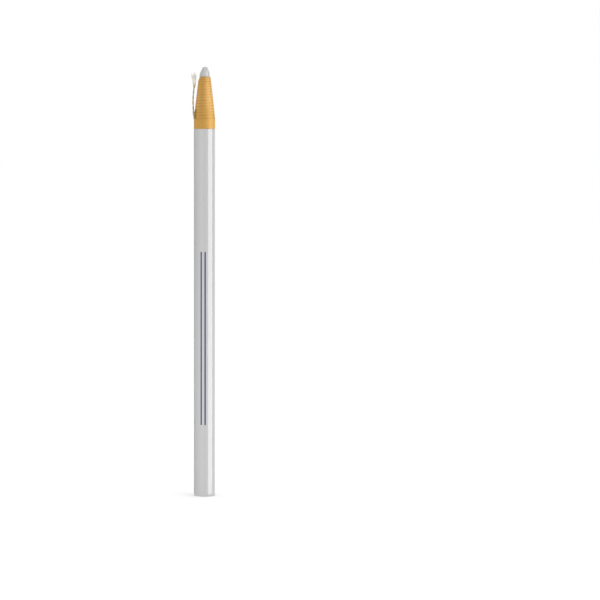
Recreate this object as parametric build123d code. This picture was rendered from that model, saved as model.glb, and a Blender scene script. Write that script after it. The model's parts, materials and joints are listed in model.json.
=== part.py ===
from build123d import *
import math
import os

# A peel-off china marker, in millimetres.
#
# A wax core stands in a tube of rolled paper. The roll is slit into bands, and each band unwinds
# to bare more wax. The sheet's end is cut on a slant, so each turn stops a step short of the turn
# inside it and the paper ends in a stepped cone. Every slit runs on the same slant, so the bands
# nest in one another like stacked cups. A string lies in a slot under the outermost turn. It comes
# out at the foot of the cone and tears the top band open when it is pulled.
#
# The marker stands on its butt. The origin is the centre of the butt face, +Z points to the tip.

# Wax core
OVERALL_LENGTH = 175.0
CORE_DIAMETER = 4.14
BARE_WAX = 4.05  # core showing above the paper
POINT_LENGTH = 2.7  # cone at the writing end
POINT_FLAT = 1.8  # diameter of the blunt end
POINT_SHOULDER = 4.0  # round between the cone and the core's side
POINT_EDGE = 0.35  # round of the blunt end

# Rolled paper
CORE_CLEARANCE = 0.02
PAPER_THICKNESS = 0.135
PAPER_TURNS = 16
TAPER_LENGTH = 16.8
FIRST_BAND_HEIGHT = 4.35  # bare paper between the foot of the cone and the coat
BAND_HEIGHT = 10.0
BUTT_LENGTH = 29.8  # paper that stays on, too short to hold once it is peeled
NEST_CLEARANCE = 0.02
COAT_THICKNESS = 0.05

# Notch torn in the cone where the string comes out
NOTCH_WIDTH = 1.7
NOTCH_HEIGHT = 3.4
NOTCH_TURN = 8.0  # degrees round the barrel from the string

# Pull string
STRING_DIAMETER = 0.6
STRING_CLEARANCE = 0.02  # to the paper above and below the string
SLOT_SIDE_CLEARANCE = 0.05
STRING_AZIMUTH = 187.0  # degrees round the barrel from +X
STRING_END_INSET = 0.5  # from the butt face to the end of the string
BEND_CLEARANCE = 0.05  # from the bent string to the rim of the band that holds it

# The free tail, from where the string leaves the slot: each stop is the distance out from the
# string's line in the slot, then the height above the foot of the cone
TAIL_STOPS = [
    (0.0, -2.4), (0.0, -1.3), (0.36, 0.1), (0.68, 1.9),
    (0.86, 4.6), (0.94, 7.6), (0.72, 10.4), (0.46, 12.8),
]
TAIL_BEND_SHARE = 0.45  # of the shorter run at each stop that its arc takes up

# The frayed end: each strand's tip is the distance out from the end of the tail, sideways, and up
STRAND_DIAMETER = 0.2
STRAND_SPREAD = 0.15  # radius of the ring that the strands start on
STRAND_TIPS = [
    (1.2, 0.06, 5.3), (0.92, -0.1, 4.9), (0.62, 0.12, 5.1), (0.32, -0.08, 5.2), (0.08, 0.1, 5.7),
    (-0.2, -0.12, 6.0), (-0.42, 0.06, 5.6), (-0.62, -0.05, 4.6),
]
KNOT_HEIGHT = 0.4  # the last of the twist, where the strands part

core_radius = CORE_DIAMETER / 2
bore_radius = core_radius + CORE_CLEARANCE
turn_radii = [bore_radius + (turn + 1) * PAPER_THICKNESS for turn in range(PAPER_TURNS)]
paper_radius = turn_radii[-1]
barrel_radius = paper_radius + COAT_THICKNESS

# A straight slant sets each turn back in proportion to the circumference of the turn that it bares
step_share = TAPER_LENGTH / sum(turn_radii[:-1])
edge_rises = [step_share * sum(turn_radii[turn:-1]) for turn in range(PAPER_TURNS)]

# Heights of the outermost turn's upper edge on each band, from the tip down
taper_foot = OVERALL_LENGTH - BARE_WAX - TAPER_LENGTH
coat_top = taper_foot - FIRST_BAND_HEIGHT
coated_bands = round((coat_top - BUTT_LENGTH) / BAND_HEIGHT)
coated_feet = [coat_top - BAND_HEIGHT * step for step in range(coated_bands)]
band_feet = [taper_foot, *coated_feet, BUTT_LENGTH]

# The string's line, the slot round it, and the level where the pulled string bends out
string_radius = STRING_DIAMETER / 2
slot_outer = paper_radius - PAPER_THICKNESS
string_line = slot_outer - STRING_CLEARANCE - string_radius
slot_inner = string_line - string_radius - STRING_CLEARANCE
slot_width = STRING_DIAMETER + 2 * SLOT_SIDE_CLEARANCE
bend_level = coat_top + string_radius + BEND_CLEARANCE


def revolved(points):
    """Solid turned round the marker's axis from a closed outline of radius and height."""
    return revolve(Plane.XZ * make_face(Polyline(*points, close=True)), Axis.Z)


def stepped_cone(foot, clearance):
    """Outline of the cone from its foot inward and up to the bore, one step for each turn."""
    points = [(paper_radius, foot)]
    for turn in reversed(range(PAPER_TURNS - 1)):
        radius = turn_radii[turn] + clearance
        points += [(radius, foot + edge_rises[turn + 1]), (radius, foot + edge_rises[turn])]
    return points + [(bore_radius, foot + TAPER_LENGTH)]


def radial_block(azimuth, width, inner, outer, low, high):
    """Block that points out from the axis, between two radii and two heights."""
    block = Box(outer - inner, width, high - low, align=(Align.MIN, Align.CENTER, Align.MIN))
    return Rot(0, 0, azimuth) * Pos(inner, 0, low) * block


def string_slot(outer, low, high):
    """Block that fills the string's slot out to a radius, between two heights."""
    return radial_block(STRING_AZIMUTH, slot_width, slot_inner, outer, low, high)


def by_string(reach, height, aside=0.0):
    """Point at a distance out along the string's azimuth, sideways from it, and up."""
    return Vector(reach, aside, height).rotate(Axis.Z, STRING_AZIMUTH)


def wax_core():
    """The core from the butt to the blunt writing tip."""
    cone_start = OVERALL_LENGTH - POINT_LENGTH
    outline = make_face(Polyline(
        (0, 0), (core_radius, 0), (core_radius, cone_start),
        (POINT_FLAT / 2, OVERALL_LENGTH), (0, OVERALL_LENGTH), close=True,
    ))
    corners = outline.vertices()
    outline = fillet(corners.sort_by_distance((core_radius, cone_start))[0], POINT_SHOULDER)
    corners = outline.vertices().sort_by_distance((POINT_FLAT / 2, OVERALL_LENGTH))
    outline = fillet(corners[0], POINT_EDGE)
    return revolve(Plane.XZ * outline, Axis.Z)


def slotted(ring, bottom, foot):
    """Ring with the string's slot: under the outermost turn up to the foot of its cone, open above."""
    on_the_cone = string_slot(barrel_radius, foot, foot + TAPER_LENGTH)
    under_the_turn = string_slot(slot_outer, bottom, foot)
    return ring - on_the_cone - under_the_turn


def nested_ring(upper_foot, lower_foot):
    """Stretch of the roll between two slits."""
    return revolved(stepped_cone(upper_foot, 0) + stepped_cone(lower_foot, NEST_CLEARANCE)[::-1])


def first_band():
    """Top band, its outermost turn torn open over the string, and the notch beside it."""
    torn_slot = string_slot(barrel_radius, coat_top, taper_foot + TAPER_LENGTH)
    notch_azimuth, notch_top = STRING_AZIMUTH + NOTCH_TURN, taper_foot + NOTCH_HEIGHT
    notch = radial_block(notch_azimuth, NOTCH_WIDTH, slot_inner, barrel_radius, taper_foot, notch_top)
    return nested_ring(taper_foot, coat_top) - torn_slot - notch


def coated_band(upper_foot, lower_foot):
    """Band still covered by the coat."""
    return slotted(nested_ring(upper_foot, lower_foot), lower_foot, upper_foot)


def butt_paper():
    """Last stretch of the roll, flat at the butt."""
    foot = band_feet[-1]
    ring = revolved(stepped_cone(foot, 0) + [(bore_radius, 0), (paper_radius, 0)])
    return slotted(ring, 0, foot)


def coat(top, bottom):
    """Section of the glossy coat round one band."""
    return revolved([
        (paper_radius, bottom), (barrel_radius, bottom), (barrel_radius, top), (paper_radius, top),
    ])


def string_run():
    """String lying in the slot, from the butt to just under the level where it bends out."""
    top = bend_level - string_radius - STRING_CLEARANCE
    length = top - STRING_END_INSET
    rod = Cylinder(string_radius, length, align=(Align.CENTER, Align.CENTER, Align.MIN))
    return Pos(by_string(string_line, STRING_END_INSET)) * rod


def string_lead():
    """String in the torn slit of the top band, rounded where it turns on the bend."""
    length = taper_foot + TAIL_STOPS[0][1] - bend_level
    rod = Cylinder(string_radius, length, align=(Align.CENTER, Align.CENTER, Align.MIN))
    return Pos(by_string(string_line, bend_level)) * (rod + Sphere(string_radius))


def string_tail():
    """Free tail, straight runs joined by tangent arcs."""
    stops = [by_string(string_line + out, taper_foot + up) for out, up in TAIL_STOPS]
    runs = [after - before for before, after in zip(stops, stops[1:])]
    radii = []
    for before, after in zip(runs, runs[1:]):
        half_turn = math.radians(before.get_angle(after)) / 2
        radii.append(TAIL_BEND_SHARE * min(before.length, after.length) / math.tan(half_turn))
    path = FilletPolyline(*stops, radius=radii)
    tube = sweep(Plane(path @ 0, z_dir=path % 0) * Circle(string_radius), path)
    print("tail bend radii", [round(radius, 1) for radius in radii])
    print("tail length", round(path.length, 2), "area", round(tube.volume / path.length, 4))
    return tube


def frayed_end():
    """Strands that part at the end of the tail."""
    out, up = TAIL_STOPS[-1]
    reach, level = string_line + out, taper_foot + up
    knot = Cylinder(string_radius, KNOT_HEIGHT, align=(Align.CENTER, Align.CENTER, Align.MIN))
    strand_radius = STRAND_DIAMETER / 2
    strands = []
    for number, (tip_out, tip_aside, tip_up) in enumerate(STRAND_TIPS):
        turn = 2 * math.pi * number / len(STRAND_TIPS)
        start_out, start_aside = STRAND_SPREAD * math.cos(turn), STRAND_SPREAD * math.sin(turn)
        start = by_string(reach + start_out, level + strand_radius, start_aside)
        tip = by_string(reach + tip_out, level + tip_up, tip_aside)
        rod = Cylinder(strand_radius, (tip - start).length, align=(Align.CENTER, Align.CENTER, Align.MIN))
        strands.append(Plane(start, z_dir=tip - start) * rod)
    return (Pos(by_string(reach, level)) * knot).fuse(*strands)


pieces = {
    "wax_core": wax_core(),
    "band_01": first_band(),
    "butt_paper": butt_paper(),
    "butt_coat": coat(band_feet[-1], 0),
    "string_run": string_run(),
    "string_lead": string_lead(),
    "string_tail": string_tail(),
    "frayed_end": frayed_end(),
}
for number, (upper, lower) in enumerate(zip(band_feet[1:], band_feet[2:]), start=2):
    pieces[f"band_{number:02d}"] = coated_band(upper, lower)
    pieces[f"coat_{number:02d}"] = coat(upper, lower)

os.makedirs("parts", exist_ok=True)
for name, solid in pieces.items():
    export_step(solid, f"parts/{name}.step")
    print(name, round(solid.volume, 4))
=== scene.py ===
import json
import math
import random

import bmesh
import bpy
from bpy.props import FloatProperty, FloatVectorProperty, IntProperty, PointerProperty
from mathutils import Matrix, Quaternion, Vector

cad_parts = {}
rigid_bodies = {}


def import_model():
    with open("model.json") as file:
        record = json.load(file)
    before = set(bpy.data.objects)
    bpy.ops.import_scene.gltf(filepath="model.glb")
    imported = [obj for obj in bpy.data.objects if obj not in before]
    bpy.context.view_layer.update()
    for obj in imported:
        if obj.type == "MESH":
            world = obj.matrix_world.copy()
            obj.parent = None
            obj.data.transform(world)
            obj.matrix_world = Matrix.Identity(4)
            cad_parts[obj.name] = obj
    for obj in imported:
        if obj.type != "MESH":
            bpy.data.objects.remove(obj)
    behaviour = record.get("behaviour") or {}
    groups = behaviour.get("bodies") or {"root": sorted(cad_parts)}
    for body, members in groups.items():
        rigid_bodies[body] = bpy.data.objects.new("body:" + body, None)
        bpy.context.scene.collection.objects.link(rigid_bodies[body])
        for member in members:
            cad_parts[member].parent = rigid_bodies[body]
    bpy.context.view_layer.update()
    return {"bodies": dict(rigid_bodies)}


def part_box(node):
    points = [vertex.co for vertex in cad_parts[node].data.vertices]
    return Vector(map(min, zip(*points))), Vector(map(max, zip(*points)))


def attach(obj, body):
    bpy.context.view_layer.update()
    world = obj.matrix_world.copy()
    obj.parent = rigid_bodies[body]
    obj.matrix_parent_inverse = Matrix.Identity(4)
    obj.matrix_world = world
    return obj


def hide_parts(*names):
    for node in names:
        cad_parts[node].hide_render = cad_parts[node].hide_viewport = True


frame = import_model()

bl_info = {
    "name": "Peel-off China Marker",
    "version": (1, 0, 0),
    "blender": (4, 5, 0),
    "location": "View3D > Sidebar > China Marker",
    "description": "Wax core, rolled paper bands, glossy coat and pull string of a china marker",
    "category": "Add Mesh",
}

MM = 0.001

# Distances below this count as none
NEAR = 1e-6

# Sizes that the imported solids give
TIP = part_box("wax_core")[1].z
PAPER_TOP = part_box("band_01")[1].z
COAT_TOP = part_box("coat_02")[1].z
BUTT_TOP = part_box("butt_coat")[1].z
BAND_HEIGHT = COAT_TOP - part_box("coat_02")[0].z
COATED_BANDS = sorted(
    name for name in frame["bodies"] if name.startswith("band_") and name != "band_01")

# The string's route from the bend up to the fray, in millimetres: distance out from its line in the
# slot, then height above the foot of the cone
TAIL_ROUTE = [
    (0.0, -4.3), (0.0, -2.4), (0.02, -1.4), (0.36, -0.5), (0.56, 0.4), (0.7, 1.9),
    (0.86, 4.6), (0.94, 7.6), (0.72, 10.4), (0.46, 12.8),
]

# Outline of the frayed end across its fan: share of the way from the cone's side to the outer side,
# then, in millimetres, distance out from the end of the tail and height of the tips
FRAY_OUTLINE = [
    (0.0, -0.95, 5.0), (0.15, -0.72, 5.6), (0.35, -0.3, 6.2), (0.5, 0.06, 5.9),
    (0.68, 0.5, 5.0), (0.85, 0.96, 5.2), (0.94, 1.2, 5.6), (1.0, 1.36, 6.3),
]

# What shows in the gloss all round the barrel: degrees from the camera to the right, and brightness
TENT_LIGHT = [
    (-180, 0.6), (-178, 2.8), (-160, 2.8), (-158, 1.2), (-149, 1.2), (-147, 0.05), (-112, 0.0),
    (-90, 0.05), (-75, 0.14), (-62, 0.25), (-52, 0.5), (-42, 0.8), (-33, 1.1), (-24, 1.35),
    (-16, 1.1), (-8, 0.6), (0, 0.5), (16, 0.7), (28.0, 0.8), (28.4, 6.6), (69.0, 6.6),
    (69.4, 1.1), (89, 0.9), (113, 1.1), (147, 0.6), (180, 0.6),
]


def length(label, note, millimetres):
    """Length property, given in millimetres."""
    return FloatProperty(
        name=label, description=note, default=millimetres * MM, min=0.0, precision=6, unit="LENGTH")


def bearing(label, note, degrees):
    """Angle property, given in degrees round the marker from +X."""
    return FloatProperty(name=label, description=note, default=math.radians(degrees), subtype="ANGLE")


def factor(label, note, value):
    """Property for a plain number that is not below zero."""
    return FloatProperty(name=label, description=note, default=value, min=0.0)


def whole(label, note, value, least=1):
    """Property for a whole number."""
    return IntProperty(name=label, description=note, default=value, min=least)


def colour(label, note, value):
    """Colour property, in linear light."""
    return FloatVectorProperty(
        name=label, description=note, default=value, min=0.0, max=1.0, size=3, subtype="COLOR")


class WaxSettings(bpy.types.PropertyGroup):
    diameter: length("Diameter", "Across the wax core", 4.14)
    point_length: length("Point length", "Height of the cone at the writing end", 2.7)
    point_flat: length("Point flat", "Across the blunt end of the point", 1.8)
    shoulder: length("Shoulder", "How far the round between cone and side reaches", 0.85)
    point_edge: length("Point edge", "How far the round of the blunt end reaches", 0.3)
    unevenness: length("Unevenness", "Depth of the hand-cut marks", 0.03)
    lean: length("Lean", "How far the worn point leans to one side", 0.3)
    colour: colour("Wax", "Colour of the wax", (0.45, 0.45, 0.443))


class PaperSettings(bpy.types.PropertyGroup):
    radius: length("Radius", "Outside of the roll under the coat", 4.25)
    turns: whole("Turns", "Whole turns of the roll", 16)
    bare_radius: length("Bare radius", "Outside of the bare band, sprung open a little", 4.36)
    bare_turns: whole("Bare turns", "Whole turns of the bare band's roll", 17)
    bare_shift: length("Bare shift", "How far the bare band sits to one side", 0.04)
    bore: length("Bore", "Inside of the roll", 2.08)
    sheet: length("Sheet", "Thickness of the paper", 0.119)
    steps: whole("Steps", "Straight steps that make up one turn", 90, least=12)
    seam: bearing("Seam", "Where the sheet's outer end lies, round from +X", 176)
    cone_turns: whole("Cone turns", "Turns whose edges show on the cone", 15)
    taper: length("Taper", "Height of the stepped cone", 16.8)
    first_step: length("First step", "Height of the cone's lowest step", 1.3)
    last_step: length("Last step", "Height of the cone's highest step", 0.94)
    wear: length("Wear", "How far the top of the cone is worn down on the left", 1.1)
    gap: length("Gap", "Space between one band and the next", 0.03)
    notch_height: length("Notch height", "Height of the torn notch by the string", 3.45)
    notch_side: length("Notch side", "From the axis across to the side of the notch", 3.5)
    notch_reach: length("Notch reach", "How far the notch reaches round to the front", 2.7)
    notch_foot_depth: length("Notch foot depth", "Depth of the notch at its foot", 0.32)
    notch_top_depth: length("Notch top depth", "Depth of the notch at its top", 0.14)
    tongue_radius: length("Tongue radius", "Outside of the torn tongue in the notch", 4.24)
    tongue_height: length("Tongue height", "Height of the torn tongue", 3.3)
    colour: colour("Paper", "Colour of the paper", (0.575, 0.29, 0.026))
    # Painted shade: a darker colour down the front of the paper, where the light falls off
    front_shade_colour: colour("Streak", "Colour of a darker streak in front", (0.49, 0.239, 0.01))
    # Painted light: a paler, lighter colour on the cone, where the light falls
    cone_light_colour: colour("Handled", "Colour where fingers rub the cone", (0.645, 0.338, 0.06))
    edge_colour: colour("Cut edge", "Colour along the cut edge of the paper", (0.2, 0.095, 0.018))
    # Painted shade: the dark brown in the notch and the slit, where shade falls
    stain_and_shade_colour: colour("Stain", "Colour of the old glue in the notch", (0.3, 0.155, 0.03))


class CoatSettings(bpy.types.PropertyGroup):
    radius: length("Radius", "Outside of the coat", 4.3)
    thickness: length("Thickness", "Thickness of the coat", 0.045)
    edge: length("Edge", "Round of the coat's upper edge", 0.02)
    butt_round: length("Butt round", "Round where the coat folds over the butt", 0.18)
    line_left: length("Lines left", "From the front to the middle of the two lines", 0.55)
    line_spread: length("Line spread", "From the middle of the lines to each of them", 0.8)
    line_width: length("Line width", "Width of each line", 0.52)
    line_length: length("Line length", "Length of each line", 70.6)
    line_height: length("Line height", "From the butt to the middle of each line", 64.6)
    colour: colour("Coat", "Colour of the coat", (0.512, 0.512, 0.517))
    # Painted light: the coat is lighter towards the butt
    butt_light_colour: colour("Butt coat", "Colour of the coat towards the butt", (0.542, 0.542, 0.546))
    line_colour: colour("Lines", "Colour of the two plain lines", (0.012, 0.022, 0.15))


class StringSettings(bpy.types.PropertyGroup):
    diameter: length("Diameter", "Across the twisted string", 0.6)
    lay: length("Lay", "Length of one turn of the twist", 4.3)
    plies: whole("Plies", "Yarns twisted together", 2, least=2)
    ply_share: factor("Ply share", "Share of the string's diameter that each ply has", 0.7)
    azimuth: bearing("Azimuth", "Where the string lies, round from +X", 187)
    line: length("Line", "From the axis to the string in its slot", 3.795)
    slot_width: length("Slot width", "Width of the slot that the string lies in", 0.7)
    slot_floor: length("Slot floor", "From the axis to the floor of the slot", 3.475)
    swelling: factor("Swelling", "How much the string swells above its slot", 0.4)
    swollen_at: length("Swollen at", "From the foot of the cone to the swelling", 2.4)
    swollen_reach: length("Swollen reach", "How far the swelling reaches up and down", 1.4)
    hairs: whole("Hairs", "Loose hairs on the free tail", 24, least=0)
    colour: colour("String", "Colour of the string", (0.50, 0.46, 0.33))
    stain_and_shade_colour: colour("Stain", "Colour of the string's stained middle", (0.375, 0.272, 0.098))


class FraySettings(bpy.types.PropertyGroup):
    fibres: whole("Fibres", "Fibres in the frayed end", 135)
    diameter: length("Diameter", "Across one fibre at its root", 0.1)
    spread: length("Spread", "How far fibres stray sideways from the fan", 0.28)
    seed: whole("Seed", "Start of the random numbers", 7, least=0)
    colour: colour("Fibre", "Colour of the loose fibres", (0.88, 0.865, 0.79))


class StageSettings(bpy.types.PropertyGroup):
    floor_colour: colour("Floor", "Colour of the floor", (1.0, 1.0, 1.0))
    ambient: factor("Ambient", "Soft light from all round", 0.92)
    side: factor("Side", "How much the soft light grows to the right", 0.03)
    above: factor("Above", "How much the soft light grows upwards", 0.15)
    key: factor("Key", "Power of the soft lamp at the right, in watts", 2.0)
    tent: factor("Tent", "Brightness of the tent that shows in the gloss", 1.0)
    tent_radius: length("Tent radius", "From the axis to the tent", 8)


class ChinaMarkerSettings(bpy.types.PropertyGroup):
    wax: PointerProperty(type=WaxSettings, name="Wax core")
    paper: PointerProperty(type=PaperSettings, name="Paper bands")
    coat: PointerProperty(type=CoatSettings, name="Coat")
    string: PointerProperty(type=StringSettings, name="Pull string")
    fray: PointerProperty(type=FraySettings, name="Frayed end")
    stage: PointerProperty(type=StageSettings, name="Stage")


def clear_selection():
    """Leaves nothing selected, in object mode."""
    if bpy.context.mode != "OBJECT":
        bpy.ops.object.mode_set(mode="OBJECT")
    bpy.ops.object.select_all(action="DESELECT")


def named(name):
    """The object that the last operator made, under its own name."""
    piece = bpy.context.active_object
    piece.name = piece.data.name = name
    return piece


def select_only(*pieces):
    """Selects these objects alone. The first one is active."""
    clear_selection()
    for piece in pieces:
        piece.select_set(True)
    bpy.context.view_layer.objects.active = pieces[0]


def settle():
    """Puts the active object's place into its mesh."""
    bpy.ops.object.transform_apply(location=True, rotation=True, scale=True)


def new_mesh(name, add, **values):
    """New mesh from one of Blender's add operators, with its place put into the mesh."""
    clear_selection()
    add(**values)
    piece = named(name)
    settle()
    return piece


def open_mesh(piece):
    """Edit mode on one piece, with all of it selected."""
    select_only(piece)
    bpy.ops.object.mode_set(mode="EDIT")
    bpy.ops.mesh.select_all(action="SELECT")


def close_mesh():
    """Back to object mode."""
    bpy.ops.object.mode_set(mode="OBJECT")


def pick(piece, kind, test):
    """In edit mode, selects the vertices, edges or faces that pass a test, and nothing else."""
    bpy.ops.mesh.select_mode(type=kind)
    bpy.ops.mesh.select_all(action="DESELECT")
    mesh = bmesh.from_edit_mesh(piece.data)
    parts = {"VERT": mesh.verts, "EDGE": mesh.edges, "FACE": mesh.faces}[kind]
    found = [part for part in parts if test(part)]
    if not found:
        raise RuntimeError(f"nothing to select on {piece.name}")
    for part in found:
        part.select_set(True)
    mesh.select_flush_mode()
    bmesh.update_edit_mesh(piece.data)


def at_height(height):
    """Test for edges that lie flat at one height."""
    return lambda edge: all(abs(vertex.co.z - height) < NEAR for vertex in edge.verts)


def extrude(shift):
    """In edit mode, extrudes what is selected and moves it."""
    bpy.ops.mesh.extrude_region_move(TRANSFORM_OT_translate={"value": shift})


def narrow(share):
    """In edit mode, draws what is selected in towards its middle."""
    bpy.ops.transform.resize(value=(share, share, 1))


def cut_ring(height):
    """In edit mode, cuts a ring of edges round the mesh at a height."""
    bpy.ops.mesh.select_all(action="SELECT")
    bpy.ops.mesh.bisect(plane_co=(0, 0, height), plane_no=(0, 0, 1))


def add_modifier(piece, kind, **values):
    """Adds a modifier to the active object and applies it."""
    modifier = piece.modifiers.new(kind.title(), kind)
    for key, value in values.items():
        setattr(modifier, key, value)
    bpy.ops.object.modifier_apply(modifier=modifier.name)


def outward(piece):
    """Merges doubles and turns every face outwards."""
    open_mesh(piece)
    bpy.ops.mesh.remove_doubles(threshold=1e-8)
    bpy.ops.mesh.normals_make_consistent(inside=False)
    close_mesh()


def smooth(piece, degrees):
    """Turns the faces outwards and smooths all edges up to an angle."""
    outward(piece)
    bpy.ops.object.shade_smooth_by_angle(angle=math.radians(degrees))


def carve(piece, tool, operation="DIFFERENCE"):
    """Takes a tool's shape out of a piece, or keeps only that shape, and deletes the tool."""
    select_only(piece)
    add_modifier(piece, "BOOLEAN", operation=operation, solver="MANIFOLD", object=tool)
    bpy.data.objects.remove(tool)


def copy_up(piece, name, rise):
    """Copy of a piece with its own mesh, moved along the marker."""
    select_only(piece)
    bpy.ops.object.duplicate(linked=False)
    copy = named(name)
    bpy.ops.transform.translate(value=(0, 0, rise))
    settle()
    return copy


def curve_object(name, lines, kind="POLY", **values):
    """Curve with one spline for each line of spots."""
    curve = bpy.data.curves.new(name, "CURVE")
    for key, value in values.items():
        setattr(curve, key, value)
    for line in lines:
        spline = curve.splines.new(kind)
        spline.points.add(len(line) - 1)
        for point, spot in zip(spline.points, line):
            point.co = (*spot, 1)
    holder = bpy.data.objects.new(name, curve)
    bpy.context.scene.collection.objects.link(holder)
    return holder


def place(piece, body, slot, material, *nodes):
    """Gives a finished piece its material and puts it on the frame."""
    piece.data.materials.clear()
    piece.data.materials.append(material)
    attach(piece, body)
    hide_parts(*nodes)


def beside_string(reach, height, aside=0.0):
    """Point at a distance out along the string's azimuth, sideways from it, and up."""
    turn = bpy.context.scene.china_marker.string.azimuth
    out = Vector((math.cos(turn), math.sin(turn), 0))
    across = Vector((-math.sin(turn), math.cos(turn), 0))
    return out * reach + across * aside + Vector((0, 0, height))


def foot_of_cone():
    """Height of the first band's outermost turn."""
    return PAPER_TOP - bpy.context.scene.china_marker.paper.taper


def feed(tree, node, inputs):
    """Gives a node its inputs. Each one is a socket to link or a plain value."""
    for key, term in inputs.items():
        socket = node.inputs[key]
        if isinstance(term, bpy.types.NodeSocket):
            tree.links.new(term, socket)
        else:
            socket.default_value = (*term, 1.0) if socket.type == "RGBA" else term


def add_node(tree, kind, inputs=None, **values):
    """New node with its settings and inputs."""
    node = tree.nodes.new(kind)
    for key, value in values.items():
        setattr(node, key, value)
    feed(tree, node, inputs or {})
    return node


def number(tree, operation, *terms):
    """Math node. Each term is a socket or a plain number."""
    return add_node(tree, "ShaderNodeMath", dict(enumerate(terms)), operation=operation).outputs[0]


def product(tree, first, *others):
    """Values multiplied together."""
    for other in others:
        first = number(tree, "MULTIPLY", first, other)
    return first


def apart(tree, value, middle):
    """How far a value lies from a middle."""
    return number(tree, "ABSOLUTE", number(tree, "SUBTRACT", value, middle))


def within(tree, value, middle, reach):
    """Mask that is 1 up to a reach on either side of a middle."""
    return number(tree, "LESS_THAN", apart(tree, value, middle), reach)


def fade(tree, value, start, end, low=0.0, high=1.0):
    """Smooth step from one value to another."""
    ends = {"Value": value, "From Min": start, "From Max": end, "To Min": low, "To Max": high}
    return add_node(tree, "ShaderNodeMapRange", ends, interpolation_type="SMOOTHSTEP").outputs[0]


def blend(tree, amount, first, second):
    """Colour mix. The amount and each colour are sockets or plain values."""
    return add_node(
        tree, "ShaderNodeMix", {0: amount, 6: first, 7: second}, data_type="RGBA").outputs[2]


def object_coordinates(tree, scale=(1, 1, 1)):
    """Object coordinates, stretched."""
    source = add_node(tree, "ShaderNodeTexCoord").outputs["Object"]
    if scale == (1, 1, 1):
        return source
    return add_node(tree, "ShaderNodeMapping", {"Vector": source, "Scale": scale}).outputs["Vector"]


def position(tree):
    """Object coordinates, as three values: across, depth and up."""
    return add_node(tree, "ShaderNodeSeparateXYZ", {"Vector": object_coordinates(tree)}).outputs


def noise(tree, coordinates, scale=1.0, detail=3.0):
    """Noise from 0 to 1."""
    inputs = {"Vector": coordinates, "Scale": scale, "Detail": detail}
    return add_node(tree, "ShaderNodeTexNoise", inputs).outputs["Fac"]


def bump(tree, shader, height, distance, strength=1.0):
    """Bump that feeds the shader's normal."""
    inputs = {"Height": height, "Distance": distance, "Strength": strength}
    node = add_node(tree, "ShaderNodeBump", inputs)
    feed(tree, shader, {"Normal": node.outputs["Normal"]})


def mottle_group():
    """Node group: a colour broken up by fine and broad mottling, and the height of the fine one."""
    found = bpy.data.node_groups.get("Mottle")
    if found:
        return found
    group = bpy.data.node_groups.new("Mottle", "ShaderNodeTree")
    for name, way, kind in (
        ("Colour", "INPUT", "NodeSocketColor"), ("Fine scale", "INPUT", "NodeSocketFloat"),
        ("Broad scale", "INPUT", "NodeSocketFloat"), ("Contrast", "INPUT", "NodeSocketFloat"),
        ("Colour", "OUTPUT", "NodeSocketColor"), ("Height", "OUTPUT", "NodeSocketFloat"),
    ):
        group.interface.new_socket(name, in_out=way, socket_type=kind)
    given = group.nodes.new("NodeGroupInput").outputs
    coordinates = object_coordinates(group)
    fine = noise(group, coordinates, given["Fine scale"], detail=4.0)
    broad = noise(group, coordinates, given["Broad scale"], detail=2.0)
    mixed = number(group, "SUBTRACT", number(group, "ADD", fine, broad), 1.0)
    level = number(group, "MULTIPLY_ADD", mixed, given["Contrast"], 1.0)
    inputs = {"Vector": given["Colour"], "Scale": level}
    scaled = add_node(group, "ShaderNodeVectorMath", inputs, operation="SCALE")
    results = {"Colour": scaled.outputs["Vector"], "Height": fine}
    feed(group, group.nodes.new("NodeGroupOutput"), results)
    return group


def mottle(tree, base, fine, broad, contrast):
    """Mottle group in a material. Gives its colour and height."""
    inputs = {"Colour": base, "Fine scale": fine, "Broad scale": broad, "Contrast": contrast}
    node = add_node(tree, "ShaderNodeGroup", inputs, node_tree=mottle_group())
    return node.outputs["Colour"], node.outputs["Height"]


def new_material(name):
    """Empty material with its node tree and shader."""
    material = bpy.data.materials.new(name)
    material.use_nodes = True
    return material, material.node_tree, material.node_tree.nodes["Principled BSDF"]


def wax_material(wax):
    """Matt wax with faint handling marks."""
    material, tree, shader = new_material("matt_wax")
    surface, height = mottle(tree, wax.colour, fine=2600.0, broad=420.0, contrast=0.09)
    smears = noise(tree, object_coordinates(tree, (900, 900, 260)))
    feed(tree, shader, {
        "Base Color": surface,
        "Roughness": fade(tree, smears, 0.35, 0.7, low=0.5, high=0.66),
        "Specular IOR Level": 0.9,
    })
    bump(tree, shader, height, distance=0.03 * MM, strength=0.25)
    return material


# Place of the painted shade in the notch: across the marker, in depth from its middle, and up from the
# foot of the cone.
# Each pair is where the painted shade starts and where it is full
NOTCH_SHADE_ACROSS = (-3.36 * MM, -3.5 * MM)
NOTCH_SHADE_MIDDLE = -1.0 * MM
NOTCH_SHADE_DEPTH = (2.2 * MM, 1.6 * MM)
NOTCH_SHADE_FOOT = (-0.2 * MM, 0.4 * MM)
NOTCH_SHADE_TOP = (3.7 * MM, 2.9 * MM)
NOTCH_SHADE_RAGGED = 0.9 * MM


def notch_shade(tree):
    """Mask for painted shade in the notch and the slit, put on as a dark brown, with a ragged edge."""
    across, depth, up = position(tree)
    specks = noise(tree, object_coordinates(tree), scale=1100.0)
    ragged = number(tree, "MULTIPLY_ADD", specks, NOTCH_SHADE_RAGGED, -NOTCH_SHADE_RAGGED / 2)
    off_middle = number(tree, "ADD", apart(tree, depth, NOTCH_SHADE_MIDDLE), ragged)
    above_foot = number(tree, "ADD", number(tree, "SUBTRACT", up, foot_of_cone()), ragged)
    return product(
        tree, fade(tree, across, *NOTCH_SHADE_ACROSS), fade(tree, off_middle, *NOTCH_SHADE_DEPTH),
        fade(tree, above_foot, *NOTCH_SHADE_FOOT), fade(tree, above_foot, *NOTCH_SHADE_TOP))


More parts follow.
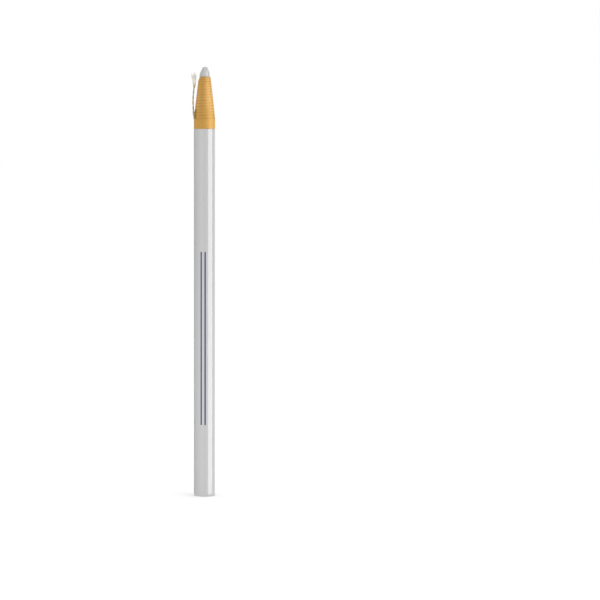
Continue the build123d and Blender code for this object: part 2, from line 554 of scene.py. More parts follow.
# The dark rim along a cut edge: how ragged it is, and its fade from below the edge
RIM_RAGGED = 0.22 * MM
RIM_FADE = (-0.18 * MM, 0.12 * MM)


def cut_rim(tree):
    """Mask for the dark rim along the sheet's cut edge, broken up here and there."""
    sheet = add_node(tree, "ShaderNodeUVMap", uv_map="Sheet").outputs["UV"]
    from_edge = add_node(tree, "ShaderNodeSeparateXYZ", {"Vector": sheet}).outputs["Y"]
    specks = noise(tree, object_coordinates(tree), scale=1500.0)
    rim = fade(tree, number(tree, "MULTIPLY_ADD", specks, RIM_RAGGED, from_edge), *RIM_FADE)
    breaks = noise(tree, object_coordinates(tree, (330, 330, 1100)), detail=2.0)
    return product(tree, rim, fade(tree, breaks, 0.35, 0.6, low=0.5))


# Heights above the foot of the cone between which painted light, a paler and lighter colour on the
# cone, fades in and out
CONE_LIGHT_BELOW = (0.5 * MM, 8.0 * MM)
CONE_LIGHT_ABOVE = (16.0 * MM, 11.5 * MM)

# Painted shade down the front fades in from the left by its angle from +X, and fades out to the right,
# across the marker
FRONT_SHADE_TURN = (math.radians(142), math.radians(108))
FRONT_SHADE_ACROSS = (1.5 * MM, -1.1 * MM)
FRONT_SHADE_LEAST = 0.1


def paper_material(paper):
    """Tan paper with fibres, darker along the cut edge of each turn, with painted shade down the front
    and in the notch, and painted light on the cone.
    """
    material, tree, shader = new_material("tan_paper")
    across, depth, up = position(tree)
    surface, height = mottle(tree, paper.colour, fine=3200.0, broad=260.0, contrast=0.17)
    up = number(tree, "SUBTRACT", up, foot_of_cone())
    # Painted light on the cone, fading in above the foot and out towards the top
    cone_light = product(tree, fade(tree, up, *CONE_LIGHT_BELOW), fade(tree, up, *CONE_LIGHT_ABOVE))
    surface = blend(tree, cone_light, surface, paper.cone_light_colour)
    # Painted shade down the front, between the lighter left side and the right
    turn = number(tree, "ABSOLUTE", number(tree, "ARCTAN2", depth, across))
    rightward = fade(tree, across, *FRONT_SHADE_ACROSS, low=FRONT_SHADE_LEAST)
    front_shade = product(tree, fade(tree, turn, *FRONT_SHADE_TURN), rightward)
    surface = blend(tree, front_shade, surface, paper.front_shade_colour)
    fibres = noise(tree, object_coordinates(tree, (1800, 1800, 5200)), detail=2.0)
    dark_fibres = fade(tree, fibres, 0.45, 0.75, high=0.2)
    surface = blend(tree, dark_fibres, surface, paper.edge_colour)
    surface = blend(tree, cut_rim(tree), surface, paper.edge_colour)
    feed(tree, shader, {
        # Painted shade in the notch and the slit
        "Base Color": blend(tree, notch_shade(tree), surface, paper.stain_and_shade_colour),
        "Roughness": fade(tree, fibres, 0.3, 0.7, low=0.56, high=0.68),
        "Specular IOR Level": 1.0,
        "Specular Tint": (0.88, 1.0, 0.95),
        "Sheen Weight": 0.5,
        "Sheen Roughness": 0.45,
        "Sheen Tint": (1.0, 0.6, 0.18),
    })
    bump(tree, shader, height, distance=0.02 * MM, strength=0.5)
    return material


# Heights between which painted light makes the coat's colour lighter towards the butt
COAT_LIGHT_CHANGE = (100 * MM, 40 * MM)


def coat_material(coat):
    """Glossy lacquer, a little wavy, with two plain lines along the front."""
    material, tree, shader = new_material("gloss_lacquer")
    across, depth, up = position(tree)
    # Painted light: the coat's colour grows lighter towards the butt
    base = blend(tree, fade(tree, up, *COAT_LIGHT_CHANGE), coat.colour, coat.butt_light_colour)
    surface, _ = mottle(tree, base, fine=700.0, broad=60.0, contrast=0.03)
    from_middle = apart(tree, across, -coat.line_left)
    lines = product(
        tree, within(tree, from_middle, coat.line_spread, coat.line_width / 2),
        within(tree, up, coat.line_height, coat.line_length / 2),
        number(tree, "LESS_THAN", depth, 0.0))
    haze = noise(tree, object_coordinates(tree), scale=900.0)
    feed(tree, shader, {
        "Base Color": blend(tree, lines, surface, coat.line_colour),
        "Roughness": fade(tree, haze, 0.3, 0.7, low=0.02, high=0.045),
    })
    waves = noise(tree, object_coordinates(tree, (130, 130, 26)), detail=1.0)
    bump(tree, shader, waves, distance=0.05 * MM)
    return material


def cotton(name, below, above, change, grain, roughness, sheen, relief):
    """Cotton whose colour changes between two heights above the foot of the cone."""
    material, tree, shader = new_material(name)
    start, end = (foot_of_cone() + height for height in change)
    base = blend(tree, fade(tree, position(tree)[2], start, end), below, above)
    surface, height = mottle(tree, base, *grain)
    feed(tree, shader, {"Base Color": surface, "Roughness": roughness, "Sheen Weight": sheen})
    bump(tree, shader, height, distance=relief)
    return material


def string_material(string):
    """Twisted cotton, stained along its middle."""
    return cotton(
        "twisted_cotton", below=string.colour, above=string.stain_and_shade_colour,
        change=(1.5 * MM, 5.0 * MM), grain=(5200.0, 900.0, 0.3), roughness=0.85, sheen=0.25,
        relief=0.03 * MM)


def fibre_material(fray, stain):
    """Loose cotton fibres, stained where they part."""
    return cotton(
        "loose_cotton", below=stain, above=fray.colour,
        change=(12.2 * MM, 15.0 * MM), grain=(4200.0, 1100.0, 0.22), roughness=0.8, sheen=0.3,
        relief=0.01 * MM)


# Rings of edges on the core, from the top of the paper, where it starts to lean
LEAN_RINGS = (-0.4 * MM, -0.1 * MM, 0.2 * MM)
WAX_MARK_SIZE = 0.9 * MM


class MARKER_OT_wax_core(bpy.types.Operator):
    """Make the wax core with its blunt, hand-cut point"""
    bl_idname = "china_marker.wax_core"
    bl_label = "Wax Core"

    def execute(self, context):
        wax = context.scene.china_marker.wax
        cone_start = TIP - wax.point_length
        core = new_mesh(
            "wax_core_dressed", bpy.ops.mesh.primitive_circle_add, vertices=96,
            radius=wax.diameter / 2, fill_type="NGON", location=(0, 0, 0))
        open_mesh(core)
        extrude((0, 0, cone_start))
        extrude((0, 0, wax.point_length))
        narrow(wax.point_flat / wax.diameter)
        pick(core, "EDGE", at_height(cone_start))
        bpy.ops.mesh.bevel(offset=wax.shoulder, segments=10)
        pick(core, "EDGE", at_height(TIP))
        bpy.ops.mesh.bevel(offset=wax.point_edge, segments=8)
        pick(core, "FACE", lambda face: face.normal.z > 0.99)
        for _ in range(3):
            bpy.ops.mesh.inset(thickness=wax.point_flat / 10)
        for rise in LEAN_RINGS:
            cut_ring(PAPER_TOP + rise)
        close_mesh()
        outward(core)
        for vertex in core.data.vertices:
            bare = max(vertex.co.z - PAPER_TOP, 0.0) / (TIP - PAPER_TOP)
            vertex.co.x += wax.lean * bare
        marks = bpy.data.textures.new("wax_marks", "CLOUDS")
        marks.noise_scale, marks.noise_depth = WAX_MARK_SIZE, 2
        add_modifier(
            core, "DISPLACE", texture=marks, texture_coords="LOCAL", direction="NORMAL",
            strength=wax.unevenness, mid_level=1.0)
        bpy.ops.object.shade_smooth_by_angle(angle=math.radians(50))
        place(core, "core_and_butt", "wax", wax_material(wax), "wax_core")
        return {"FINISHED"}


# Wear of the cone's top: turns before the last one where it starts, turns until it is full, and how
# closely it keeps to the left
WEAR_START = 1.2
WEAR_EASE = 1.5
WEAR_FOCUS = 6

# Share of the last step that the turns inside it still rise by
TOP_SLANT = 0.1


class Roll:
    """Spiral that a sheet is rolled on, from its outer end inwards."""

    def __init__(self, paper, radius, turns, shift=0.0):
        self.paper, self.radius, self.turns, self.shift = paper, radius, turns, shift
        self.pitch = (radius - paper.bore - paper.sheet) / turns

    def line(self):
        """Curve of the spiral, and its length."""
        points = []
        for step in range(self.turns * self.paper.steps + 1):
            turn = step / self.paper.steps
            reach, angle = self.radius - self.pitch * turn, self.bearing_at(turn)
            points.append(Vector((self.shift + reach * math.cos(angle), reach * math.sin(angle), 0)))
        run = sum((after - before).length for before, after in zip(points, points[1:]))
        return curve_object("roll_line", [points], dimensions="2D"), run

    def bearing_at(self, turn):
        """Angle round the marker at a number of turns from the outer end."""
        return self.paper.seam + 2 * math.pi * turn

    def turn_at(self, along):
        """Turns from the outer end to a distance along the flat sheet."""
        inner = math.sqrt(max(self.radius ** 2 - self.pitch * along / math.pi, 0.0))
        return (self.radius - inner) / self.pitch

    def worn_at(self, along):
        """How far the top of the innermost turns is worn down on the left."""
        turn = self.turn_at(along)
        inward = (turn - self.paper.cone_turns + WEAR_START) / WEAR_EASE
        leftward = max(-math.cos(self.bearing_at(turn)), 0.0)
        return self.paper.wear * min(max(inward, 0.0), 1.0) * leftward ** WEAR_FOCUS

    def rise_at(self, along):
        """Height of the slanted cut above the foot of the cone."""
        paper, last = self.paper, self.paper.cone_turns
        from_front = self.turn_at(along) - (1.5 * math.pi - paper.seam) / (2 * math.pi)
        if from_front > last:
            return paper.taper + (from_front - last) * TOP_SLANT * paper.last_step
        easing = (paper.first_step - paper.last_step) / (2 * last)
        return paper.first_step * from_front - easing * from_front ** 2


def rolled_sheet(name, roll, foot, bottom, slanted_bottom=True):
    """Sheet drawn flat with x along the roll, cut on a slant, made thick and rolled up."""
    line, run = roll.line()
    height = foot - bottom
    sheet = new_mesh(
        name, bpy.ops.mesh.primitive_plane_add, size=height, rotation=(math.pi / 2, 0, 0),
        location=(height / 2, 0, bottom + height / 2))
    open_mesh(sheet)
    pick(sheet, "EDGE", lambda edge: all(vertex.co.x > height / 2 for vertex in edge.verts))
    bpy.ops.transform.translate(value=(run - height, 0, 0))
    for parts in (roll.turns, roll.paper.steps):
        pick(sheet, "EDGE", lambda edge: abs(edge.verts[0].co.x - edge.verts[1].co.x) > NEAR)
        bpy.ops.mesh.subdivide(number_cuts=parts - 1)
    close_mesh()
    layer = sheet.data.uv_layers[0]
    layer.name = "Sheet"
    for loop in sheet.data.loops:
        spot = sheet.data.vertices[loop.vertex_index].co
        layer.data[loop.index].uv = (spot.x, spot.z - foot)
    bare = roll.shift > 0
    for vertex in sheet.data.vertices:
        rise = roll.rise_at(vertex.co.x)
        if vertex.co.z > bottom + height / 2:
            vertex.co.z += rise - roll.worn_at(vertex.co.x) if bare else rise
        elif slanted_bottom:
            vertex.co.z += max(rise, 0.0) if bare else rise
    add_modifier(sheet, "SOLIDIFY", thickness=roll.paper.sheet, offset=-1.0)
    add_modifier(sheet, "CURVE", object=line, deform_axis="POS_X")
    bpy.data.objects.remove(line)
    outward(sheet)
    return sheet


def block(width, inner, outer, low, high, azimuth):
    """Block that points out from the axis, between two radii and two heights."""
    middle = (inner + outer) / 2
    return new_mesh(
        "block", bpy.ops.mesh.primitive_cube_add, size=1, rotation=(0, 0, azimuth),
        scale=(outer - inner, width, high - low),
        location=(middle * math.cos(azimuth), middle * math.sin(azimuth), (low + high) / 2))


def slot_block(string, outer, low, high):
    """Block that fills the string's slot out to a radius."""
    return block(string.slot_width, string.slot_floor, outer, low, high, string.azimuth)


# From the inside of the outermost turn to the roof of the slot, so that the cut leaves that turn whole,
# and how far the hidden slot reaches past the foot of the cone
ROOF_CLEARANCE = 0.0085 * MM
SLOT_OVERLAP = 0.05 * MM


def covered_slot_block(paper, string, low, high):
    """Block for the slot under the outermost turn, rounded to follow the turn."""
    tool = slot_block(string, paper.radius, low, high)
    drum = new_mesh(
        "slot_drum", bpy.ops.mesh.primitive_cylinder_add, vertices=256, depth=high - low + MM,
        radius=paper.radius - paper.sheet - ROOF_CLEARANCE, location=(0, 0, (low + high) / 2))
    carve(tool, drum, "INTERSECT")
    return tool


def cut_slot(sheet, paper, string, foot, low):
    """Cuts the string's slot: under the outermost turn up to the foot of the cone, open above it."""
    carve(sheet, covered_slot_block(paper, string, low - MM, foot + SLOT_OVERLAP))
    carve(sheet, slot_block(string, paper.radius + MM, foot, foot + paper.taper))


# Raggedness of the notch and of the torn tongue, the tongue's ends round the marker, from the string
# and from +X, its rows of faces, and its drift inwards with each row
NOTCH_RAGGED = 0.07 * MM
TONGUE_RAGGED = 0.035 * MM
TONGUE_FROM_STRING = math.radians(5.5)
TONGUE_END = math.pi + math.radians(31)
TONGUE_ROWS = 8
TONGUE_DRIFT = 0.02 * MM

# Space between the butt's paper and the fold of the coat
FOLD_CLEARANCE = 0.01 * MM


class MARKER_OT_paper_bands(bpy.types.Operator):
    """Roll the paper bands and the paper at the butt from slanted sheets"""
    bl_idname = "china_marker.paper_bands"
    bl_label = "Paper Bands"

    def execute(self, context):
        marker = context.scene.china_marker
        paper, string = marker.paper, marker.string
        material = paper_material(paper)
        self.first_band(paper, string, material, foot_of_cone())
        roll = Roll(paper, paper.radius, paper.turns)
        self.coated_bands(roll, string, material)
        butt = rolled_sheet("butt_paper_rolled", roll, BUTT_TOP, 0.0, slanted_bottom=False)
        self.round_butt(butt, marker.coat)
        cut_slot(butt, paper, string, BUTT_TOP, 0.0)
        self.finish(butt)
        place(butt, "core_and_butt", "paper", material, "butt_paper")
        return {"FINISHED"}

    def round_butt(self, sheet, coat):
        """Draws the outer turns up at the butt, to lie inside the folded coat."""
        middle, reach = coat.radius - coat.butt_round, coat.butt_round - coat.thickness
        for vertex in sheet.data.vertices:
            out = vertex.co.xy.length - middle
            if vertex.co.z < coat.thickness and out > -coat.thickness:
                part = min(max(out / reach, 0.0), 1.0)
                vertex.co.z = coat.butt_round - reach * math.sqrt(1 - part ** 2) + FOLD_CLEARANCE

    def finish(self, sheet):
        """Clears the slivers that the cuts leave, smooths the turns and keeps cut edges sharp."""
        open_mesh(sheet)
        bpy.ops.mesh.remove_doubles(threshold=NEAR)
        bpy.ops.mesh.dissolve_degenerate(threshold=NEAR)
        close_mesh()
        bpy.ops.object.shade_smooth_by_angle(angle=math.radians(30))

    def first_band(self, paper, string, material, foot):
        """Bare band with the torn slit over the string and the notch beside it."""
        roll = Roll(paper, paper.bare_radius, paper.bare_turns, paper.bare_shift)
        sheet = rolled_sheet("band_01_rolled", roll, foot, COAT_TOP + paper.gap)
        carve(sheet, slot_block(string, paper.radius + MM, COAT_TOP - MM, PAPER_TOP + MM))
        carve(sheet, self.notch_block(paper, foot))
        tongue = self.torn_tongue(paper, string, foot)
        select_only(sheet, tongue)
        bpy.ops.object.join()
        self.finish(sheet)
        place(sheet, "band_01", "paper", material, "band_01")

    def notch_block(self, paper, foot):
        """Ragged block for the notch, which leaves a floor that follows the cone."""
        notch = block(
            paper.notch_reach, paper.notch_side, paper.bare_radius + MM,
            foot, foot + paper.notch_height, math.pi)
        bpy.ops.transform.translate(value=(0, -paper.notch_reach / 2, 0))
        bpy.ops.object.mode_set(mode="EDIT")
        bpy.ops.mesh.subdivide(number_cuts=9)
        bpy.ops.transform.vertex_random(offset=NOTCH_RAGGED, seed=3)
        close_mesh()
        slope = (paper.bare_radius - paper.bore) / paper.taper
        low, high = -MM, paper.notch_height + MM
        shallower = (paper.notch_top_depth - paper.notch_foot_depth) / paper.notch_height
        lower, upper = (
            paper.bare_radius - paper.notch_foot_depth + (shallower - slope) * up
            for up in (low, high))
        floor = new_mesh(
            "notch_floor", bpy.ops.mesh.primitive_cone_add, vertices=128, radius1=lower, radius2=upper,
            depth=high - low, location=(0, 0, foot + (low + high) / 2))
        carve(notch, floor)
        return notch

    def torn_tongue(self, paper, string, foot):
        """Ragged strip of the sheet that the string has torn and left standing in the notch."""
        first, last = string.azimuth + TONGUE_FROM_STRING, TONGUE_END

        def off_strip(vertex):
            return not first < math.atan2(vertex.co.y, vertex.co.x) % (2 * math.pi) < last

        tongue = new_mesh(
            "torn_tongue", bpy.ops.mesh.primitive_circle_add, vertices=360,
            radius=paper.tongue_radius, fill_type="NOTHING", location=(0, 0, foot))
        open_mesh(tongue)
        pick(tongue, "VERT", off_strip)
        bpy.ops.mesh.delete(type="VERT")
        bpy.ops.mesh.select_all(action="SELECT")
        for _ in range(TONGUE_ROWS):
            extrude((TONGUE_DRIFT, 0, paper.tongue_height / TONGUE_ROWS))
        bpy.ops.mesh.select_all(action="SELECT")
        bpy.ops.transform.vertex_random(offset=TONGUE_RAGGED, seed=5)
        close_mesh()
        outward(tongue)
        add_modifier(tongue, "SOLIDIFY", thickness=paper.sheet, offset=0.0)
        outward(tongue)
        return tongue

    def coated_bands(self, roll, string, material):
        """One band under the coat, and its copies down the barrel."""
        bottom = COAT_TOP - BAND_HEIGHT
        first = rolled_sheet("band_02_rolled", roll, COAT_TOP, bottom + roll.paper.gap)
        cut_slot(first, roll.paper, string, COAT_TOP, bottom)
        self.finish(first)
        for step, body in enumerate(COATED_BANDS):
            sheet = copy_up(first, f"{body}_rolled", -step * BAND_HEIGHT) if step else first
            place(sheet, body, "paper", material, body)


# Steps of the coat's fold at the butt, and the height of a ring of edges above it, in radii of the
# fold, which keeps the shading of the side even
FOLD_STEPS = 6
FOLD_RING = 1.5


class MARKER_OT_coat(bpy.types.Operator):
    """Make the sections of the glossy coat"""
    bl_idname = "china_marker.coat"
    bl_label = "Coat"

    def execute(self, context):
        coat = context.scene.china_marker.coat
        material = coat_material(coat)
        top = self.tube(coat, "coat_02_lacquer", COAT_TOP - BAND_HEIGHT, COAT_TOP)
        self.round_edge(top, coat)
        smooth(top, degrees=40)
        place(top, "band_02", "coat", material, "coat_02")
        second = self.tube(coat, "coat_03_lacquer", COAT_TOP - 2 * BAND_HEIGHT, COAT_TOP - BAND_HEIGHT)
        smooth(second, degrees=40)
        for step, body in enumerate(COATED_BANDS[1:]):
            node = body.replace("band", "coat")
            tube = copy_up(second, f"{node}_lacquer", -step * BAND_HEIGHT) if step else second
            place(tube, body, "coat", material, node)
        butt = self.tube(coat, "butt_coat_lacquer", 0.0, BUTT_TOP, coat.butt_round)
        smooth(butt, degrees=40)
        place(butt, "core_and_butt", "coat", material, "butt_coat")
        return {"FINISHED"}

    def tube(self, coat, name, low, high, fold=0.0):
        """Thin tube of lacquer, its lower edge folded in by a round if one is given."""
        tube = new_mesh(
            name, bpy.ops.mesh.primitive_cylinder_add, vertices=160, radius=coat.radius,
            depth=high - low - fold, end_fill_type="NOTHING", location=(0, 0, (low + fold + high) / 2))
        if fold:
            self.fold_in(tube, coat.radius, low, fold)
        add_modifier(tube, "SOLIDIFY", thickness=coat.thickness, offset=-1.0)
        return tube

    def fold_in(self, tube, radius, low, fold):
        """Carries the lower edge of a tube on, in a round."""
        open_mesh(tube)
        pick(tube, "EDGE", at_height(low + fold))
        for step in range(FOLD_STEPS):
            here, ahead = (math.pi / 2 * part / FOLD_STEPS for part in (step, step + 1))
            inner, outer = (radius - fold + fold * math.cos(turn) for turn in (ahead, here))
            extrude((0, 0, -fold * (math.sin(ahead) - math.sin(here))))
            narrow(inner / outer)
        cut_ring(low + FOLD_RING * fold)
        close_mesh()
        outward(tube)

    def round_edge(self, tube, coat):
        """Rounds the outer edge at the top of the coat."""
        outside, at_top = coat.radius - coat.thickness / 2, at_height(COAT_TOP)
        open_mesh(tube)
        pick(tube, "EDGE", lambda edge: at_top(edge) and all(
            vertex.co.xy.length > outside for vertex in edge.verts))
        bpy.ops.mesh.bevel(offset=coat.edge, segments=3)
        close_mesh()


def route_points(points, resolution):
    """Points along the smooth line of a route, read from its spline."""
    holder = curve_object("route", [points], "NURBS", dimensions="3D", resolution_u=resolution)
    spline = holder.data.splines[0]
    spline.order_u = 3
    spline.use_endpoint_u = True
    bpy.context.view_layer.update()
    line = bpy.data.meshes.new_from_object(holder)
    spots = [vertex.co.copy() for vertex in line.vertices]
    bpy.data.objects.remove(holder)
    bpy.data.meshes.remove(line)
    return spots


def frames_along(spots):
    """Distance, place and two cross directions at each spot, with no twist from one to the next."""
    across, run, rows = beside_string(1.0, 0.0).normalized(), 0.0, []
    for index, spot in enumerate(spots):
        before, after = spots[max(index - 1, 0)], spots[min(index + 1, len(spots) - 1)]
        ahead = (after - before).normalized()
        across = (across - ahead * across.dot(ahead)).normalized()
        run += (spot - before).length
        rows.append((run, spot, across, ahead.cross(across)))
    return rows


def strand_mesh(name, strands, thickness, sides):
    """Mesh of round strands. Each strand is a list of spots, with the share of the thickness there."""
    holder = curve_object(
        name, [[spot for spot, _ in strand] for strand in strands], dimensions="3D",
        bevel_depth=thickness / 2, bevel_resolution=sides, use_fill_caps=True)
    for spline, strand in zip(holder.data.splines, strands):
        for point, (_, part) in zip(spline.points, strand):
            point.radius = part
    select_only(holder)
    bpy.ops.object.convert(target="MESH")
    return named(name)


# Loose hairs on the string: start of the random numbers, where they root as a share of the string's
# diameter, how far they rise and reach in millimetres, their bow, and the share of a ply's thickness
# at root, middle and tip
HAIR_SEED = 11
HAIR_ROOT = 0.45
HAIR_RISE = (0.1, 0.5)
HAIR_REACH = (0.05, 0.2)
HAIR_BOW = 0.2
HAIR_TAPER = (0.09, 0.07, 0.04)


def twisted(name, string, spots, bend=0.0, hairs=0):
    """Plies twisted round a line, rounded off below a bend, with a few loose hairs."""
    ply = string.diameter * string.ply_share
    offset = (string.diameter - ply) / 2
    rows, swollen = frames_along(spots), foot_of_cone() + string.swollen_at
    strands = []
    for index in range(string.plies):
        strand = []
        for run, spot, across, aside in rows:
            angle = 2 * math.pi * (run / string.lay + index / string.plies)
            from_swelling = (spot.z - swollen) / string.swollen_reach
            full = 1.0 + string.swelling * math.exp(-from_swelling ** 2)
            under = max(bend - spot.z, 0.0) / (string.diameter / 2)
            full *= math.sqrt(max(1.0 - under ** 2, 0.0))
            out = across * math.cos(angle) + aside * math.sin(angle)
            strand.append((spot + full * offset * out, full))
        strands.append(strand)
    dice = random.Random(HAIR_SEED)
    for _ in range(hairs):
        _, spot, across, aside = rows[dice.randrange(2, len(rows) - 2)]
        angle = dice.uniform(0, 2 * math.pi)
        out = across * math.cos(angle) + aside * math.sin(angle)
        root = spot + out * string.diameter * HAIR_ROOT
        rise = Vector((0, 0, dice.uniform(*HAIR_RISE) * MM))
        tip = root + out * dice.uniform(*HAIR_REACH) * MM + rise
        middle = (root + tip) / 2 + rise * HAIR_BOW
        strands.append(list(zip((root, middle, tip), HAIR_TAPER)))
    return strand_mesh(name, strands, ply, sides=2)


class MARKER_OT_pull_string(bpy.types.Operator):
    """Twist the pull string: the run in the slot and the free tail"""
    bl_idname = "china_marker.pull_string"
    bl_label = "Pull String"

    def execute(self, context):
        string = context.scene.china_marker.string
        material = string_material(string)
        ends = [beside_string(string.line, corner.z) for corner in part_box("string_run")]
        run = twisted("string_run_twisted", string, route_points(ends, resolution=900))
        smooth(run, degrees=60)
        place(run, "core_and_butt", "string", material, "string_run")
        foot = foot_of_cone()
        route = [beside_string(string.line + out * MM, foot + up * MM) for out, up in TAIL_ROUTE]
        bend = foot + TAIL_ROUTE[0][1] * MM + string.diameter / 2
        spots = route_points(route, resolution=24)
        tail = twisted("string_tail_twisted", string, spots, bend, string.hairs)
        smooth(tail, degrees=60)
        place(tail, "pull_string", "string", material, "string_lead", "string_tail")
        return {"FINISHED"}


# One fibre of the fray, in millimetres: stray of its tip, its start round the twist's middle and below
# the end of the twist, and its curl, with the turn of the curl in radians
FIBRE_STRAY = 0.06
FIBRE_START = (0.02, 0.2)
FIBRE_ROOT = 0.5
FIBRE_CURL = (0.02, 0.07)
CURL_TURN = 5

# Shares of the full length that fibres are torn to, a last trim, the least at the outer side and
# elsewhere, and where along the fan the outer side starts
FIBRE_LENGTHS = (1.0, 1.0, 1.0, 0.96, 0.9, 0.8, 0.7)
FIBRE_TRIM = (0.95, 1.0)
OUTER_LEAST, LEAST = 0.9, 0.66
OUTER_SIDE = 0.8

# How the fan opens up its height: the power at the cone's side, and what is added by the fan's middle
FAN_POWER, FAN_POWER_ADDED = 0.42, 0.45
FIBRE_STEPS = 10


def on_outline(part):
    """Tip's distance out and height at a share of the way across the fan."""
    for (low, out_low, up_low), (high, out_high, up_high) in zip(FRAY_OUTLINE, FRAY_OUTLINE[1:]):
        if part <= high:
            mix = (part - low) / (high - low)
            return out_low + mix * (out_high - out_low), up_low + mix * (up_high - up_low)
    return FRAY_OUTLINE[-1][1:]


class MARKER_OT_frayed_end(bpy.types.Operator):
    """Fan out the loose fibres at the end of the string"""
    bl_idname = "china_marker.frayed_end"
    bl_label = "Frayed End"

    def execute(self, context):
        marker = context.scene.china_marker
        fray, string = marker.fray, marker.string
        dice = random.Random(fray.seed)
        out, up = TAIL_ROUTE[-1]
        reach, level = string.line + out * MM, foot_of_cone() + up * MM
        strands = [self.fibre(fray, dice, reach, level, index) for index in range(fray.fibres)]
        fibres = strand_mesh("frayed_end_fibres", strands, fray.diameter, sides=1)
        smooth(fibres, degrees=80)
        material = fibre_material(fray, string.stain_and_shade_colour)
        place(fibres, "pull_string", "string", material, "frayed_end")
        return {"FINISHED"}

    def fibre(self, fray, dice, reach, level, index):
        """One fibre, from inside the twist out to its tip."""
        part = (index + dice.random()) / fray.fibres
        tip_out, tip_up = on_outline(part)
        tip_out += dice.gauss(0, FIBRE_STRAY)
        least = OUTER_LEAST if part > OUTER_SIDE else LEAST
        tip_up *= max(dice.choice(FIBRE_LENGTHS), least) * dice.uniform(*FIBRE_TRIM)
        aside = dice.uniform(-1, 1) * fray.spread
        angle, start = dice.uniform(0, 2 * math.pi), dice.uniform(*FIBRE_START) * MM
        curl, phase = dice.uniform(*FIBRE_CURL) * MM, dice.uniform(0, 2 * math.pi)
        strand = []
        for step in range(FIBRE_STEPS + 1):
            along = step / FIBRE_STEPS
            fan = along ** (FAN_POWER + FAN_POWER_ADDED * min(2 * part, 1.0))
            swing = curl * math.sin(phase + CURL_TURN * along) * along
            spot = beside_string(
                reach + start * math.cos(angle) * (1 - fan) + tip_out * MM * fan + swing,
                level - FIBRE_ROOT * MM + (tip_up + FIBRE_ROOT) * MM * along,
                start * math.sin(angle) * (1 - fan) + aside * fan + swing / 2)
            strand.append((spot, 1.0 - along / 2))
        return strand


# Soft lamp at the right: its width and height, its place, and the point that it is turned to
KEY_SIZE = 0.9
KEY_SPOT = (0.95, -0.85, 0.8)
KEY_TARGET = (0, 0, 0.09)

# The tent's height, the brightness up to which it shines every way, and the turn away from straight
# out, as Layer Weight gives it, over which a grid shuts off what is brighter
TENT_HEIGHT = 0.6
TENT_PLAIN = 1.2
TENT_GRID = (0.085, 0.125)

# Camera: its place in metres, its turn in degrees, and its lens in millimetres
CAMERA_SPOT = (0, -1.2, 0.14)
CAMERA_YAW, CAMERA_PITCH, CAMERA_ROLL = 1.8613, 2.8548, 0.0969
CAMERA_LENS = 176.511


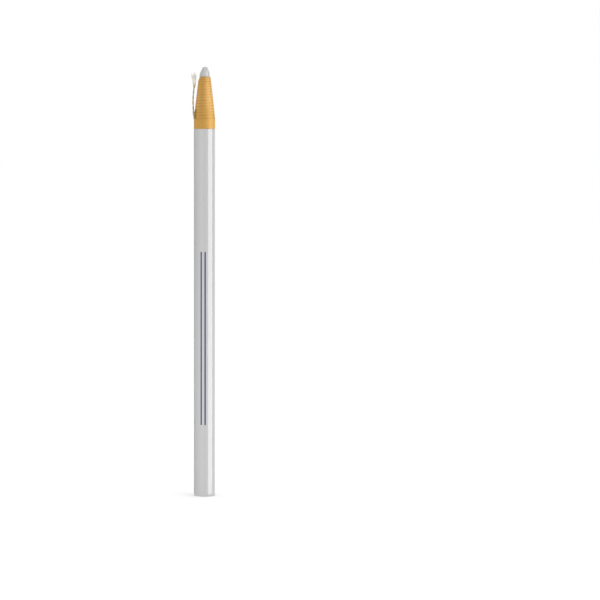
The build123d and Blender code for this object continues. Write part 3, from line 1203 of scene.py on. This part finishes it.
class MARKER_OT_stage(bpy.types.Operator):
    """Set the floor, the light and the camera"""
    bl_idname = "china_marker.stage"
    bl_label = "Stage"

    def execute(self, context):
        stage = context.scene.china_marker.stage
        self.floor(stage)
        self.world(context.scene, stage)
        self.key_lamp(stage)
        self.tent(stage)
        self.camera(context.scene)
        return {"FINISHED"}

    def floor(self, stage):
        """Wide pale floor."""
        floor = new_mesh(
            "floor", bpy.ops.mesh.primitive_grid_add, x_subdivisions=8, y_subdivisions=8, size=40,
            location=(0, 15, 0))
        material, tree, shader = new_material("pale_floor")
        surface, _ = mottle(tree, stage.floor_colour, fine=40.0, broad=3.0, contrast=0.004)
        feed(tree, shader, {"Base Color": surface, "Roughness": 1.0, "Specular IOR Level": 0.0})
        floor.data.materials.append(material)

    def world(self, scene, stage):
        """Soft light that grows to the right and upwards, with a white backdrop for the camera."""
        scene.world = scene.world or bpy.data.worlds.new("studio")
        scene.world.use_nodes = True
        tree = scene.world.node_tree
        tree.nodes.clear()
        direction = add_node(tree, "ShaderNodeTexCoord").outputs["Generated"]
        inputs = {0: direction, 1: (stage.side, 0.0, stage.above)}
        growth = add_node(tree, "ShaderNodeVectorMath", inputs, operation="DOT_PRODUCT")
        level = number(tree, "ADD", growth.outputs["Value"], stage.ambient)
        soft, white = (
            add_node(tree, "ShaderNodeBackground", {"Color": (1, 1, 1), "Strength": strength})
            for strength in (level, 1.0))
        mix = add_node(tree, "ShaderNodeMixShader", {
            "Fac": add_node(tree, "ShaderNodeLightPath").outputs["Is Camera Ray"],
            1: soft.outputs["Background"],
            2: white.outputs["Background"],
        })
        add_node(tree, "ShaderNodeOutputWorld", {"Surface": mix.outputs["Shader"]})

    def key_lamp(self, stage):
        """Soft square lamp, turned to the marker."""
        clear_selection()
        bpy.ops.object.light_add(type="AREA", location=KEY_SPOT)
        lamp = named("key")
        ahead = Vector(KEY_TARGET) - Vector(KEY_SPOT)
        lamp.rotation_euler = ahead.to_track_quat("-Z", "Y").to_euler()
        lamp.data.shape, lamp.data.size, lamp.data.size_y = "RECTANGLE", KEY_SIZE, KEY_SIZE
        lamp.data.energy = stage.key
        lamp.visible_camera = False

    def tent(self, stage):
        """Glowing tube round the marker, seen only in its gloss. Bright strips shine straight out."""
        tent = new_mesh(
            "tent", bpy.ops.mesh.primitive_cylinder_add, vertices=128, radius=stage.tent_radius,
            depth=TENT_HEIGHT, end_fill_type="NOTHING", location=(0, 0, TENT_HEIGHT / 2))
        material, tree, _ = new_material("tent_light")
        tree.nodes.clear()
        across, depth, _ = position(tree)
        turn = number(tree, "ARCTAN2", across, number(tree, "MULTIPLY", depth, -1.0))
        round_tent = number(tree, "MULTIPLY_ADD", turn, 0.5 / math.pi, 0.5)
        ramp = add_node(tree, "ShaderNodeValToRGB", {"Fac": round_tent})
        peak = max(level for _, level in TENT_LIGHT)
        stops = ramp.color_ramp.elements
        while len(stops) < len(TENT_LIGHT):
            stops.new(0.5)
        for stop, (degrees, level) in zip(stops, TENT_LIGHT):
            stop.position, stop.color = degrees / 360 + 0.5, (*[level / peak] * 3, 1.0)
        level = number(tree, "MULTIPLY", ramp.outputs["Color"], peak * stage.tent)
        plain = number(tree, "MINIMUM", level, TENT_PLAIN)
        facing = add_node(tree, "ShaderNodeLayerWeight").outputs["Facing"]
        grid = fade(tree, facing, *TENT_GRID, low=1.0, high=0.0)
        strip = number(tree, "SUBTRACT", level, plain)
        strength = number(tree, "MULTIPLY_ADD", strip, grid, plain)
        glow = add_node(tree, "ShaderNodeEmission", {"Strength": strength})
        add_node(tree, "ShaderNodeOutputMaterial", {"Surface": glow.outputs["Emission"]})
        tent.data.materials.append(material)
        for ray in ("camera", "diffuse", "transmission", "volume_scatter", "shadow"):
            setattr(tent, f"visible_{ray}", False)

    def camera(self, scene):
        """Camera at the photograph's place, for a square picture."""
        clear_selection()
        bpy.ops.object.camera_add(location=CAMERA_SPOT)
        camera = named("camera")
        camera.rotation_mode = "QUATERNION"
        upright = Vector((0, 0, 1))
        camera.rotation_quaternion = (
            Quaternion(upright, math.radians(-CAMERA_YAW))
            @ Quaternion((1, 0, 0), math.radians(90 - CAMERA_PITCH))
            @ Quaternion(upright, math.radians(CAMERA_ROLL)))
        camera.data.sensor_width, camera.data.lens = 36.0, CAMERA_LENS
        camera.data.clip_start, camera.data.clip_end = 0.01, 50.0
        scene.camera = camera
        scene.view_settings.view_transform = "Standard"


class MARKER_PT_panel(bpy.types.Panel):
    bl_label = "China Marker"
    bl_idname = "MARKER_PT_panel"
    bl_space_type = "VIEW_3D"
    bl_region_type = "UI"
    bl_category = "China Marker"

    def draw(self, context):
        for operator in OPERATORS:
            self.layout.operator(operator.bl_idname)


OPERATORS = (
    MARKER_OT_wax_core, MARKER_OT_paper_bands, MARKER_OT_coat, MARKER_OT_pull_string,
    MARKER_OT_frayed_end, MARKER_OT_stage,
)
CLASSES = (
    WaxSettings, PaperSettings, CoatSettings, StringSettings, FraySettings, StageSettings,
    ChinaMarkerSettings, *OPERATORS, MARKER_PT_panel,
)


def register():
    for item in CLASSES:
        bpy.utils.register_class(item)
    bpy.types.Scene.china_marker = PointerProperty(type=ChinaMarkerSettings)


def unregister():
    del bpy.types.Scene.china_marker
    for item in reversed(CLASSES):
        bpy.utils.unregister_class(item)


def main():
    register()
    bpy.ops.china_marker.wax_core()
    bpy.ops.china_marker.paper_bands()
    bpy.ops.china_marker.coat()
    bpy.ops.china_marker.pull_string()
    bpy.ops.china_marker.frayed_end()
    bpy.ops.china_marker.stage()


if __name__ == "__main__":
    main()
